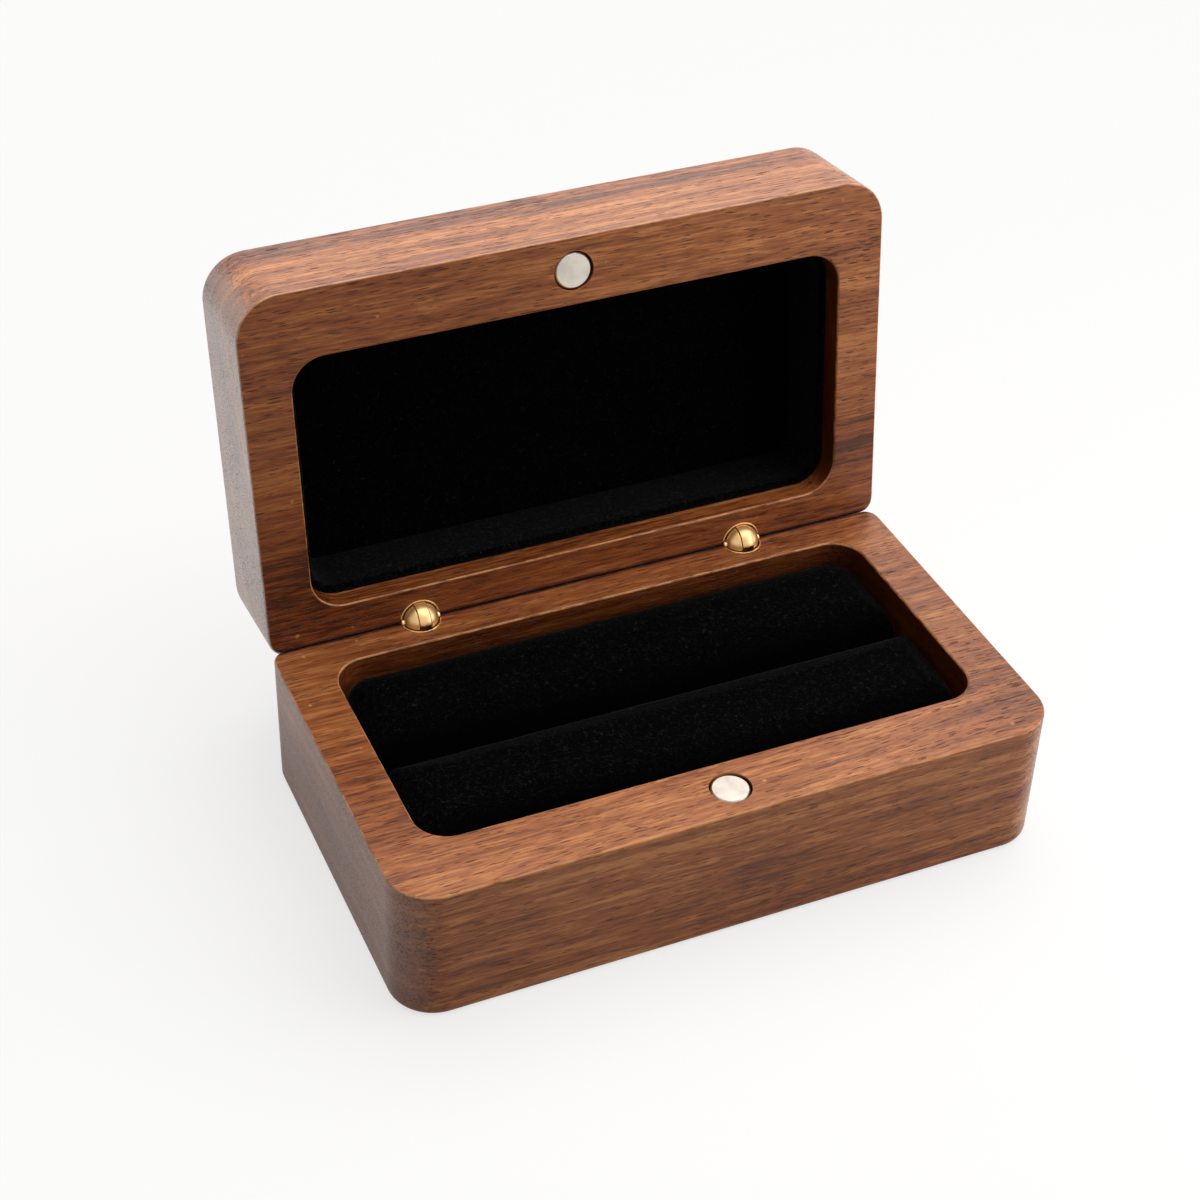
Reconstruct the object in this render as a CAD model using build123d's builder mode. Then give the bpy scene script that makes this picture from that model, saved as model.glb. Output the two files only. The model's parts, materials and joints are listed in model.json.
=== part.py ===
from build123d import *
from math import cos, radians, sin, sqrt
import os

# Double ring box: a walnut base and lid on two brass ball hinges, with a magnet in
# each front rim, two velvet ring pads in the base and a velvet liner in the lid.
# Frame: origin at the middle of the underside, +X along the hinge line, -Y to the
# front, +Z up. The lid is drawn standing open.

# Wooden blocks
box_width = 90.0
front_to_hinge = 50.4
hinge_to_rear = 3.6
base_height = 20.0
lid_height = 16.0
mating_gap = 0.1
corner_radius = 6.0
outer_round = 0.8
edge_break = 0.3
rear_round = 1.4
open_angle = 97.3
stop_gap = 0.1

# Recesses
side_wall = 6.5
front_wall = 9.4
rear_wall = 4.9
recess_radius = 4.5
base_floor = 3.8
lid_roof = 3.0

# Magnets
magnet_diameter = 5.0
magnet_thickness = 3.0
magnet_from_front = 4.7
magnet_glue_gap = 0.25
magnet_sink = 0.15
magnet_bevel = 0.2

# Hinges
hinge_spacing = 48.0
ball_diameter = 4.9
pocket_gap = 0.18
sleeve_wall = 0.2
sleeve_length = 9.0
sleeve_glue_gap = 0.02
neck_diameter = 4.4
neck_length = 4.0
shank_end_gap = 0.6
shank_fit = 0.02
tongue_thickness = 1.6
tongue_gap = 0.08
tongue_proud = 0.1
nose_rise = 0.3
nose_wall = 1.15
pin_diameter = 1.0
pin_fit = 0.02
pin_run = 0.05
pin_notch_gap = 0.08
pin_past_ball = 0.3
pin_end_round = 0.2

# Ring pads in the base
card_thickness = 1.0
card_edge_gap = 0.3
pad_below_rim = 1.5
pad_wall_gap = 0.2
pad_end_gap = 0.6
slot_width = 0.5
pad_outer_corner = 4.0
pad_slot_corner = 1.2
pad_tuck = 0.25
crown_drop = 1.8
crown_reach = 3.5
front_slope_drop = 4.5
front_slope_reach = 7.0
shoulder_steps = 9
velvet_thickness = 0.6
core_fit = 0.05

# Liner in the lid
liner_below_rim = 3.2
liner_fit = 0.05
wall_card_thickness = 0.5
wall_velvet_thickness = 0.6
wall_velvet_round = 0.4
floor_card_thickness = 0.8
floor_velvet_thickness = 0.9
floor_velvet_round = 0.4

# Places that follow from the sizes
box_depth = front_to_hinge + hinge_to_rear
front_y = -box_depth / 2
hinge_y = front_y + front_to_hinge
hinge_z = base_height + mating_gap / 2
half_gap = mating_gap / 2
recess_width = box_width - 2 * side_wall
recess_depth = front_to_hinge - front_wall - rear_wall
recess_front = -front_to_hinge + front_wall
relief_angle = radians(open_angle / 2)
ball_radius = ball_diameter / 2
sleeve_inner = ball_radius + pocket_gap
sleeve_outer = sleeve_inner + sleeve_wall
shank_length = sleeve_length - shank_end_gap
hinge_places = {"left": -hinge_spacing / 2, "right": hinge_spacing / 2}

# Each half is drawn on the plane of its own mating face. The plane's origin is on
# the hinge line, its local Z points into the half and its local Y to the rear.
base_plane = Plane(origin=(0, hinge_y, hinge_z), x_dir=(-1, 0, 0), z_dir=(0, 0, -1))
lid_plane = Plane(
    origin=(0, hinge_y, hinge_z),
    x_dir=(1, 0, 0),
    z_dir=(0, sin(radians(open_angle)), cos(radians(open_angle))),
)


def side_plane(plane, x=0.0):
    """Plane across the hinge line at x, with local X to the rear and local Y inward."""
    place = plane.origin + Vector(x, 0, 0)
    return Plane(origin=place, x_dir=plane.y_dir, z_dir=plane.x_dir)


def on_half(plane, x):
    """World x as a local x on the half's plane."""
    return x * plane.x_dir.X


def relief_profile(plane):
    """Wedge behind the hinge line that both halves leave free so that the lid opens."""
    slope = Vector(cos(relief_angle), sin(relief_angle))
    inward = Vector(-sin(relief_angle), cos(relief_angle)) * stop_gap / 2
    run_in = (half_gap - inward.Y) / slope.Y
    start = inward + slope * run_in
    end = inward + slope * (2 * hinge_to_rear / slope.X)
    with BuildSketch(side_plane(plane)) as profile:
        with BuildLine():
            Polyline(
                (start.X, start.Y),
                (end.X, end.Y),
                (end.X, -ball_radius),
                (start.X, -ball_radius),
                close=True,
            )
        make_face()
    return profile.sketch


def wooden_half(plane, height, floor_thickness):
    """Rounded block with its rear relief, velvet recess, hinge bores and magnet bore."""
    inward = Axis(plane.origin, plane.z_dir)
    relief_normal = plane.y_dir * sin(relief_angle) - plane.z_dir * cos(relief_angle)
    face = plane.offset(half_gap)
    with BuildPart() as half:
        with BuildSketch(face):
            with Locations((0, hinge_to_rear - box_depth / 2)):
                RectangleRounded(box_width, box_depth, corner_radius)
        extrude(amount=height)
        fillet(half.edges().group_by(inward)[-1], outer_round)
        extrude(relief_profile(plane), amount=box_width, both=True, mode=Mode.SUBTRACT)
        relief = half.faces().filter_by(Axis(plane.origin, relief_normal))[0]
        fillet(relief.edges().sort_by(inward)[1:], rear_round)
        with BuildSketch(face):
            with Locations((0, recess_front + recess_depth / 2)):
                RectangleRounded(recess_width, recess_depth, recess_radius)
        extrude(amount=height - floor_thickness, mode=Mode.SUBTRACT)
        fillet(half.edges().group_by(inward)[0], edge_break)
        with BuildSketch(face):
            with Locations(*[(x, 0) for x in hinge_places.values()]):
                Circle(sleeve_outer + sleeve_glue_gap)
        extrude(amount=sleeve_length, mode=Mode.SUBTRACT)
        with BuildSketch(face):
            with Locations((0, magnet_from_front - front_to_hinge)):
                Circle(magnet_diameter / 2 + magnet_glue_gap)
        extrude(amount=magnet_thickness + magnet_sink, mode=Mode.SUBTRACT)
    return half


def magnet(plane):
    """Plated disc, let in just below the mating face."""
    with BuildPart() as disc:
        with BuildSketch(plane.offset(half_gap + magnet_sink)):
            with Locations((0, magnet_from_front - front_to_hinge)):
                Circle(magnet_diameter / 2)
        extrude(amount=magnet_thickness)
        chamfer(disc.edges().filter_by(GeomType.CIRCLE), magnet_bevel)
    return disc


def hinge_sleeve(plane, x):
    """Thin brass tube in the wood, cut away behind the hinge line and notched."""
    with BuildPart() as sleeve:
        with BuildSketch(plane.offset(half_gap)):
            with Locations((on_half(plane, x), 0)):
                Circle(sleeve_outer)
                Circle(sleeve_inner, mode=Mode.SUBTRACT)
        extrude(amount=sleeve_length)
        extrude(relief_profile(plane), amount=box_width, both=True, mode=Mode.SUBTRACT)
        with BuildSketch(side_plane(plane, x)):
            Circle(pin_diameter / 2 + pin_notch_gap)
        extrude(amount=sleeve_outer, both=True, mode=Mode.SUBTRACT)
    return sleeve


def hinge_shank(plane, x):
    """Stepped rod down the sleeve, cut back to the half's own side of the relief."""
    with BuildPart() as shank:
        with BuildSketch(plane.offset(half_gap)):
            with Locations((on_half(plane, x), 0)):
                Circle(neck_diameter / 2)
        extrude(amount=shank_length - half_gap)
        with BuildSketch(plane.offset(neck_length)):
            with Locations((on_half(plane, x), 0)):
                Circle(sleeve_inner - shank_fit)
        extrude(amount=shank_length - neck_length)
        extrude(relief_profile(plane), amount=box_width, both=True, mode=Mode.SUBTRACT)
    return shank.part


def hinge_fork(plane, x):
    """The ball's two outer slices on their shank, with a slot for the tongue."""
    shank = hinge_shank(plane, x)
    with BuildPart() as fork:
        add(shank)
        with Locations(plane.origin + Vector(x, 0, 0)):
            Sphere(ball_radius)
        with BuildSketch(side_plane(plane, x)):
            Circle(sleeve_inner)
        extrude(amount=tongue_thickness / 2 + tongue_gap, both=True, mode=Mode.SUBTRACT)
        with BuildSketch(side_plane(plane, x)):
            Circle(pin_diameter / 2 + pin_fit)
        extrude(amount=ball_radius, both=True, mode=Mode.SUBTRACT)
    return fork


def hinge_tongue(plane, x):
    """The ball's middle slice on its shank, a little proud, with its nose notched underneath."""
    shank = hinge_shank(plane, x)
    with BuildPart() as cheeks:
        with BuildSketch(side_plane(plane, x)):
            Circle(sleeve_inner)
        extrude(amount=ball_radius, both=True)
        with BuildSketch(side_plane(plane, x)):
            Circle(sleeve_inner)
        extrude(amount=tongue_thickness / 2, both=True, mode=Mode.SUBTRACT)
    with BuildPart() as tongue:
        with Locations(plane.origin + Vector(x, 0, 0)):
            Sphere(ball_radius + tongue_proud)
        with BuildSketch(side_plane(plane, x)):
            Circle(sleeve_inner)
        extrude(amount=tongue_thickness / 2, both=True, mode=Mode.INTERSECT)
        add(shank)
        add(cheeks.part, mode=Mode.SUBTRACT)
        with BuildSketch(side_plane(plane, x)):
            Circle(pin_diameter / 2 + pin_run)
            with Locations((-nose_rise, -nose_wall)):
                Rectangle(nose_rise + sleeve_inner, sleeve_inner, align=(Align.MIN, Align.MAX))
        extrude(amount=tongue_thickness, both=True, mode=Mode.SUBTRACT)
    return tongue


def hinge_pin(plane, x):
    """Rod through the ball along the hinge line, its round ends in the notches."""
    with BuildPart() as pin:
        with BuildSketch(side_plane(plane, x)):
            Circle(pin_diameter / 2)
        extrude(amount=ball_radius + pin_past_ball, both=True)
        fillet(pin.edges().filter_by(GeomType.CIRCLE), pin_end_round)
    return pin


def shoulder_inset(below_top, drop, reach):
    """How far a pad's side is drawn in at a depth below its top: a quarter ellipse."""
    if below_top >= drop:
        return 0.0
    return reach * (1 - sqrt(1 - (1 - below_top / drop) ** 2))


def pad_levels(skin, foot_z):
    """Heights of the pad's outlines from foot to top, each with its depth below the top."""
    top_z = base_height - pad_below_rim - skin
    slope = front_slope_drop - skin
    depths = [slope * (1 - sin(radians(90 * i / shoulder_steps))) for i in range(shoulder_steps + 1)]
    waist_z = (base_floor + card_thickness + top_z - slope) / 2
    return [(foot_z, slope, pad_tuck), (waist_z, slope, 0.0)] + [(top_z - d, d, 0.0) for d in depths]


def pad_form(name, skin, foot_z):
    """Crowned pad lying along X with drawn-in foot, its surface skin deep in the velvet."""
    pad_depth = (recess_depth - 2 * pad_wall_gap - slot_width) / 2
    pad_rear = hinge_y - rear_wall - pad_wall_gap
    if name == "front":
        pad_rear -= pad_depth + slot_width
    pad_front = pad_rear - pad_depth
    half_length = recess_width / 2 - pad_end_gap
    with BuildPart() as form:
        for z, depth, tuck in pad_levels(skin, foot_z):
            edge = skin + tuck
            crown = shoulder_inset(depth, crown_drop - skin, crown_reach - skin)
            slope = shoulder_inset(depth, front_slope_drop - skin, front_slope_reach - skin)
            front = pad_front + edge + slope
            rear = pad_rear - edge - crown
            with BuildSketch(Plane.XY.offset(z)) as outline:
                with Locations((0, (front + rear) / 2)):
                    Rectangle(2 * (half_length - edge - crown), rear - front)
                corners = {"front": pad_slot_corner - skin, "rear": pad_slot_corner - skin}
                corners[name] = pad_outer_corner - skin
                fillet(outline.vertices().group_by(Axis.Y)[0], corners["front"])
                fillet(outline.vertices().group_by(Axis.Y)[-1], corners["rear"])
        loft(ruled=True)
    return form.part


def pad_core(name):
    """Foam block of a ring pad."""
    with BuildPart() as core:
        add(pad_form(name, velvet_thickness + core_fit, base_floor + card_thickness))
    return core


def pad_cover(name):
    """Velvet drawn over the foam, open underneath where it is glued to the card."""
    foot_z = base_floor + card_thickness
    outside = pad_form(name, 0.0, foot_z)
    inside = pad_form(name, velvet_thickness, foot_z - velvet_thickness)
    with BuildPart() as cover:
        add(outside)
        add(inside, mode=Mode.SUBTRACT)
    return cover


def recess_outline(plane, inset, middle=None):
    """The recess's outline drawn in by inset, with the outline middle left open inside."""
    with BuildSketch(plane) as outline:
        with Locations((0, recess_front + recess_depth / 2)):
            RectangleRounded(recess_width - 2 * inset, recess_depth - 2 * inset, recess_radius - inset)
            if middle is not None:
                width = recess_width - 2 * middle
                depth = recess_depth - 2 * middle
                RectangleRounded(width, depth, recess_radius - middle, mode=Mode.SUBTRACT)
    return outline.sketch


def base_card_piece():
    """Card on the floor of the base's recess that the pads are glued to."""
    floor = base_plane.offset(half_gap + base_height - base_floor - card_thickness)
    with BuildPart() as card:
        extrude(recess_outline(floor, card_edge_gap), amount=card_thickness)
    return card


# Depths in the lid, from its mating face's plane, and how far its liner stands in
lid_floor = half_gap + lid_height - lid_roof
liner_top = half_gap + liner_below_rim
wall_card_inner = liner_fit + wall_card_thickness
wall_velvet_inner = wall_card_inner + wall_velvet_thickness


def wall_card_piece():
    """Card strip round the lid's recess that stiffens the velvet band."""
    top = lid_plane.offset(liner_top + wall_velvet_thickness)
    with BuildPart() as strip:
        strip_depth = lid_floor - liner_top - wall_velvet_thickness
        extrude(recess_outline(top, liner_fit, wall_card_inner), amount=strip_depth)
    return strip


def wall_velvet_piece():
    """Velvet band over the card strip, folded across the strip's edge."""
    top = lid_plane.offset(liner_top)
    inward = Axis(lid_plane.origin, lid_plane.z_dir)
    with BuildPart() as band:
        extrude(recess_outline(top, liner_fit, wall_velvet_inner), amount=wall_velvet_thickness)
        extrude(recess_outline(top, wall_card_inner, wall_velvet_inner), amount=lid_floor - liner_top)
        fold = band.faces().sort_by(inward)[0]
        fillet(fold.inner_wires()[0].edges(), wall_velvet_round)
    return band


def floor_card_piece():
    """Card under the velvet at the bottom of the lid's recess."""
    plane = lid_plane.offset(lid_floor - floor_card_thickness)
    with BuildPart() as card:
        extrude(recess_outline(plane, wall_velvet_inner + liner_fit), amount=floor_card_thickness)
    return card


def floor_velvet_piece():
    """Velvet panel at the bottom of the lid's recess, round-edged where it is wrapped."""
    depth = lid_floor - floor_card_thickness - floor_velvet_thickness
    inward = Axis(lid_plane.origin, lid_plane.z_dir)
    with BuildPart() as panel:
        profile = recess_outline(lid_plane.offset(depth), wall_velvet_inner + liner_fit)
        extrude(profile, amount=floor_velvet_thickness)
        fillet(panel.edges().group_by(inward)[0], floor_velvet_round)
    return panel


pieces = {
    "base_block": wooden_half(base_plane, base_height, base_floor),
    "lid_block": wooden_half(lid_plane, lid_height, lid_roof),
    "base_magnet": magnet(base_plane),
    "lid_magnet": magnet(lid_plane),
    "base_card": base_card_piece(),
    "lid_wall_card": wall_card_piece(),
    "lid_wall_velvet": wall_velvet_piece(),
    "lid_floor_card": floor_card_piece(),
    "lid_floor_velvet": floor_velvet_piece(),
}
for side, x in hinge_places.items():
    pieces[side + "_base_sleeve"] = hinge_sleeve(base_plane, x)
    pieces[side + "_lid_sleeve"] = hinge_sleeve(lid_plane, x)
    pieces[side + "_hinge_fork"] = hinge_fork(base_plane, x)
    pieces[side + "_hinge_tongue"] = hinge_tongue(lid_plane, x)
    pieces[side + "_hinge_pin"] = hinge_pin(base_plane, x)
for row in ("front", "rear"):
    pieces[row + "_pad_core"] = pad_core(row)
    pieces[row + "_pad_cover"] = pad_cover(row)

os.makedirs("parts", exist_ok=True)
for name, piece in pieces.items():
    piece.part.label = name
    export_step(piece.part, f"parts/{name}.step")
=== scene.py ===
"""Dresses the double ring box: walnut, black velvet, brass and nickel, on a white stage."""

import json
import math

import bmesh
import bpy
from bpy.props import FloatProperty, FloatVectorProperty, PointerProperty
from bpy.types import Operator, Panel, PropertyGroup
from mathutils import Matrix, Vector, noise


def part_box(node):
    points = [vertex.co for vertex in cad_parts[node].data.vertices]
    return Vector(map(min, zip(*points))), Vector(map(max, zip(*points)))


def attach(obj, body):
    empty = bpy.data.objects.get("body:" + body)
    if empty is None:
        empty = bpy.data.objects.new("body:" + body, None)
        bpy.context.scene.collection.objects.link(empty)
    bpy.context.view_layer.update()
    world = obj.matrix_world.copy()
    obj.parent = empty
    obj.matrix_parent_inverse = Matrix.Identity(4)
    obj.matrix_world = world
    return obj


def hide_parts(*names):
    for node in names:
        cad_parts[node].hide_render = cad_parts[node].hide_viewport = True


bl_info = {
    "name": "Double ring box",
    "version": (1, 0, 0),
    "blender": (4, 5, 0),
    "location": "3D View > Sidebar > Ring box",
    "description": "Woods, velvets and metals of a double ring box, and its studio",
    "category": "Object",
}

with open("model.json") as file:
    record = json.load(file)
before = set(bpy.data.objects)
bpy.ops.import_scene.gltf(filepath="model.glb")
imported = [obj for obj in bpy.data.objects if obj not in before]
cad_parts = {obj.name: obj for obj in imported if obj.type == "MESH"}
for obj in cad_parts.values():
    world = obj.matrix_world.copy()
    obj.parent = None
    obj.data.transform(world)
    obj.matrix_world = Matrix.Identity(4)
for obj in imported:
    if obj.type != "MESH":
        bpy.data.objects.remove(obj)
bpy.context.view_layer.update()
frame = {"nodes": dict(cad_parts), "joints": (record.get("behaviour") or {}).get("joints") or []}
nodes = frame["nodes"]
hinge_line = Vector(frame["joints"][0]["pos_m"])
open_angle = math.radians(frame["joints"][0]["range_deg"][1])


def length(name, text, default):
    """A size in metres."""
    return FloatProperty(name=name, description=text, default=default, unit="LENGTH", precision=5)


def share(name, text, default):
    """A number from 0 to 1."""
    return FloatProperty(
        name=name, description=text, default=default, min=0.0, max=1.0, subtype="FACTOR"
    )


def colour(name, text, default):
    """A linear colour."""
    return FloatVectorProperty(
        name=name, description=text, default=default, size=3, min=0.0, max=1.0, subtype="COLOR"
    )


class WalnutSettings(PropertyGroup):
    """Colours and grain of the two walnut blocks."""

    light: colour("Light", "Palest wood between the rings", (0.665, 0.262, 0.086))
    middle: colour("Middle", "Wood over most of the board", (0.380, 0.113, 0.028))
    dark: colour("Dark", "Wood in the dark rings", (0.160, 0.037, 0.008))
    pore: colour("Pore", "Inside of the open pores", (0.040, 0.009, 0.004))
    # Painted shade: the wood is multiplied by this colour where the blocks carry painted shade,
    # towards the hinge, at one side of a mating face and on the recess walls.
    painted_shade: colour("Painted shade", "What the board's darker side is multiplied by", (0.38, 0.25, 0.13))
    end_shade: colour("End shade", "What the end grain is multiplied by", (0.80, 0.74, 0.68))
    # Edge: bare rubbed wood along the mating edges, and also the painted highlight that those edges
    # catch.
    edge: colour("Edge", "Bare wood where the edges are rubbed", (0.800, 0.370, 0.150))
    ring_spacing: length("Ring spacing", "Distance between the growth rings", 0.0042)
    ring_wave: length("Ring wave", "How far the rings wander", 0.0026)
    pore_length: length("Pore length", "Spacing of the pores along the grain", 0.0030)
    pore_width: length("Pore width", "Spacing of the pores across the grain", 0.00031)
    # Painted shadow: the dark line along the hinge stands in for the shade in the seam between lid
    # and base.
    seam_width: length("Seam width", "Width of the dark line along the hinge", 0.0005)
    recess_middle: length("Recess middle", "Where the recesses' middle is, from the hinge", -0.0230)
    # A mating face's painted light and shade reaches this far in from that face.
    face_depth: length("Face depth", "How far a mating face's own shade reaches in", 0.0030)
    pore_depth: length("Pore depth", "Depth of the pores and the fibre lines", 0.00006)
    # The rubbed line is wear and a painted highlight in one.
    rim_width: length("Rim width", "Width of the rubbed line along a mating edge", 0.00036)
    roughness: share("Roughness", "Roughness of the oiled wood", 0.38)
    gloss: share("Gloss", "Reflection of the oiled wood, 0.5 for a plain one", 0.38)
    varnish_roughness: share("Varnish roughness", "Roughness of the ends' varnish", 0.30)
    base_polish: share("Base polish", "How glossy the ends of the base are", 0.60)
    lid_polish: share("Lid polish", "How glossy the ends of the lid are", 1.0)
    lid_front_polish: share("Lid front polish", "How glossy the lid's front and back are", 0.42)
    # The lid's board is paler than the base's, and this also paints the brighter light that falls
    # on the lid.
    lid_paler_and_lit: FloatProperty(
        name="Lid paler and lit",
        description="How much paler the lid's board is than the base's",
        default=1.32,
    )


class VelvetSettings(PropertyGroup):
    """Black velvet of the ring pads and the lid's liner."""

    black: colour("Black", "Colour down in the pile", (0.0002, 0.0002, 0.00022))
    lint: colour("Lint", "Stray fibres on the pile", (0.026, 0.026, 0.028))
    sheen: colour("Sheen", "Light caught by the pile's tips", (0.75, 0.78, 0.85))
    lint_size: length("Lint size", "Length of a stray fibre's curl", 0.0008)
    pile: length("Pile", "Height of the pile's tufts", 0.00012)


class PadSettings(PropertyGroup):
    """Form of the two foam-filled ring pads."""

    crown_drop: length("Crown drop", "How far a pad's ends and back roll down", 0.0018)
    crown_reach: length("Crown reach", "How far in that roll starts", 0.0035)
    slope_drop: length("Slope drop", "How far a pad's front falls", 0.0045)
    slope_reach: length("Slope reach", "How far in the front's fall starts", 0.0070)
    outer_corner: length("Outer corner", "Corner radius at the box's wall", 0.0040)
    slot_corner: length("Slot corner", "Corner radius at the ring slot", 0.0012)
    least_corner: length("Least corner", "Corner radius that the rolled top keeps", 0.0008)
    tuck: length("Tuck", "How far the foot is drawn in", 0.00025)
    slack: length("Slack", "How much smaller the pad is before it swells", 0.00022)
    swell: length("Swell", "Furthest that the velvet is pushed out", 0.00026)
    pressure: FloatProperty(name="Pressure", description="Pressure of the foam", default=5.0)
    mesh_size: length("Mesh size", "Size of the faces that the cloth is made of", 0.0006)
    glued: length("Glued", "Height of the foot that is glued down", 0.0012)
    ripple_size: length("Ripple size", "Distance between the bumps of that surface", 0.0045)
    ripple: length("Ripple", "Unevenness of the velvet's surface", 0.00007)


class LinerSettings(PropertyGroup):
    """Velvet band and velvet panel in the lid."""

    thickness: length("Thickness", "Thickness of the velvet", 0.0006)
    stand: length("Stand", "How far the band stands in from the wood", 0.0011)
    band_corner: length("Band corner", "Corner radius at the back of the band", 0.00445)
    panel_corner: length("Panel corner", "Corner radius of the panel", 0.00335)
    fold: length("Fold", "Rounding of the band's folded edge", 0.00045)
    face_size: length("Face size", "Length of the faces round the liner", 0.0008)
    crown: length("Crown", "How far the panel's edges roll down", 0.00045)


class MetalSettings(PropertyGroup):
    """Brass of the hinges and nickel of the magnets."""

    brass: colour("Brass", "Polished brass", (0.820, 0.530, 0.250))
    tarnish: colour("Tarnish", "Dulled brass", (0.440, 0.250, 0.090))
    brass_roughness: share("Brass roughness", "Roughness of the polished brass", 0.34)
    brass_edge: length("Brass edge", "Rounding of the brass edges", 0.00018)
    nickel: colour("Nickel", "Nickel plating", (0.860, 0.780, 0.690))
    nickel_scratch: length("Nickel scratch", "Size of the scratches in the plating", 0.0012)
    # Both magnets have one plating; these two brightnesses paint the different light that each
    # magnet reflects.
    base_magnet: share("Base magnet", "How bright the base magnet's plating is", 0.60)
    lid_magnet: share("Lid magnet", "How bright the lid magnet's plating is", 0.72)
    nickel_roughness: share("Nickel roughness", "Roughness of the plating", 0.30)


class CardSettings(PropertyGroup):
    """Dark grey card under the velvet."""

    card: colour("Card", "Pressed card", (0.040, 0.038, 0.036))


class StageSettings(PropertyGroup):
    """Camera, lamps and floor."""

    camera: FloatVectorProperty(
        name="Camera",
        description="Where the camera stands",
        default=(-0.10773, -0.21513, 0.21900),
        size=3,
        subtype="TRANSLATION",
        unit="LENGTH",
    )
    turn: FloatProperty(
        name="Turn",
        description="Camera's turn from straight ahead",
        default=math.radians(23.1722),
        subtype="ANGLE",
    )
    tilt: FloatProperty(
        name="Tilt",
        description="Camera's tilt down",
        default=math.radians(37.2411),
        subtype="ANGLE",
    )
    roll: FloatProperty(
        name="Roll",
        description="Camera's roll",
        default=math.radians(0.9247),
        subtype="ANGLE",
    )
    lens: FloatProperty(name="Lens", description="Lens in millimetres", default=71.66)
    shift: FloatVectorProperty(
        name="Shift", description="Camera's shift", default=(0.04445, -0.01823), size=2
    )
    key_strength: FloatProperty(
        name="Key", description="Strength of the large soft lamp", default=2.85
    )
    key_spread: FloatProperty(
        name="Key spread",
        description="Width of the lamp",
        default=math.radians(80),
        subtype="ANGLE",
    )
    key_from: FloatVectorProperty(
        name="Key from", description="Direction of the lamp", default=(0.36, 0.16, 0.92), size=3
    )
    room: FloatProperty(
        name="Room", description="Strength of the light from all round", default=0.07
    )
    side_power: FloatProperty(
        name="Side", description="Power in watts of the lamp at the side", default=0.20
    )
    side_width: length("Side width", "Width of the lamp at the side", 0.22)
    side_from: FloatVectorProperty(
        name="Side from",
        description="Where the lamp at the side stands",
        default=(0.20, -0.12, 0.08),
        size=3,
        subtype="TRANSLATION",
        unit="LENGTH",
    )
    lamp: colour("Lamp", "Colour of both lamps", (1.0, 0.985, 0.965))
    floor_half: length("Floor", "Half the width of the floor", 3.0)
    floor_glow: share("Floor glow", "Part of the floor's white that no shadow dims", 0.70)
    bounce: share("Bounce", "How pale the floor is for the light on the box", 0.26)


class RingBoxSettings(PropertyGroup):
    """All the settings of the ring box."""

    walnut: PointerProperty(type=WalnutSettings)
    velvet: PointerProperty(type=VelvetSettings)
    pads: PointerProperty(type=PadSettings)
    liner: PointerProperty(type=LinerSettings)
    metal: PointerProperty(type=MetalSettings)
    card: PointerProperty(type=CardSettings)
    stage: PointerProperty(type=StageSettings)


class Wiring:
    """Adds nodes to one shader tree and links them as it goes."""

    def __init__(self, tree):
        self.tree = tree

    def put(self, kind, inputs=None, **settings):
        """Adds a node. Inputs are given by name or number, as a value or a socket."""
        node = self.tree.nodes.new("ShaderNode" + kind)
        for key, value in settings.items():
            setattr(node, key, value)
        for key, value in (inputs or {}).items():
            self.feed(node.inputs[key], value)
        return node

    def feed(self, socket, value):
        """Links a socket to a socket, or sets its value."""
        if isinstance(value, bpy.types.NodeSocket):
            self.tree.links.new(value, socket)
        elif socket.type == "RGBA" and len(value) == 3:
            socket.default_value = (*value, 1.0)
        else:
            socket.default_value = value

    def math(self, operation, *values, clamp=False):
        """A Math node's result."""
        node = self.put("Math", dict(enumerate(values)), operation=operation, use_clamp=clamp)
        return node.outputs[0]

    def times(self, a, b):
        """Two values multiplied."""
        return self.math("MULTIPLY", a, b)

    def vector(self, operation, *values):
        """A Vector Math node's result."""
        node = self.put("VectorMath", operation=operation)
        for socket, value in zip(node.inputs, values):
            self.feed(socket, value)
        return node.outputs["Value" if operation == "LENGTH" else "Vector"]

    def mix(self, factor, a, b, kind="MIX"):
        """Two colours mixed."""
        node = self.put("Mix", data_type="RGBA", blend_type=kind, clamp_factor=True)
        for number, value in ((0, factor), (6, a), (7, b)):
            self.feed(node.inputs[number], value)
        return node.outputs[2]

    def between(self, value, low, high, start=0.0, end=1.0):
        """A value's smooth step from start to end as it goes from low to high."""
        values = {"Value": value, "From Min": low, "From Max": high, "To Min": start, "To Max": end}
        node = self.put("MapRange", values, interpolation_type="SMOOTHSTEP")
        return node.outputs["Result"]

    def noise(self, place, scale=1.0, detail=2.0, rough=0.5, warp=0.0):
        """Noise from 0 to 1 over a place."""
        values = {
            "Vector": place,
            "Scale": scale,
            "Detail": detail,
            "Roughness": rough,
            "Distortion": warp,
        }
        return self.put("TexNoise", values).outputs["Fac"]

    def cells(self, place, scale=1.0):
        """Distance to the nearest of some scattered points, and a random number for each."""
        node = self.put("TexVoronoi", {"Vector": place, "Scale": scale})
        random = self.put("SeparateColor", {"Color": node.outputs["Color"]})
        return node.outputs["Distance"], random.outputs["Red"]

    def stretch(self, place, factors):
        """A place with each of its axes multiplied."""
        return self.vector("MULTIPLY", place, factors)

    def scaled(self, place, factor):
        """A place multiplied by one number, given as a socket."""
        result = self.vector("SCALE", place)
        self.feed(result.node.inputs["Scale"], factor)
        return result

    def wobble(self, place, stretch, detail, amount):
        """A smooth random offset for a place, up to half of amount each way."""
        place = self.stretch(place, stretch)
        node = self.put("TexNoise", {"Vector": place, "Scale": 1.0, "Detail": detail})
        offset = self.vector("SUBTRACT", node.outputs["Color"], (0.5, 0.5, 0.5))
        return self.scaled(offset, amount)


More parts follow.
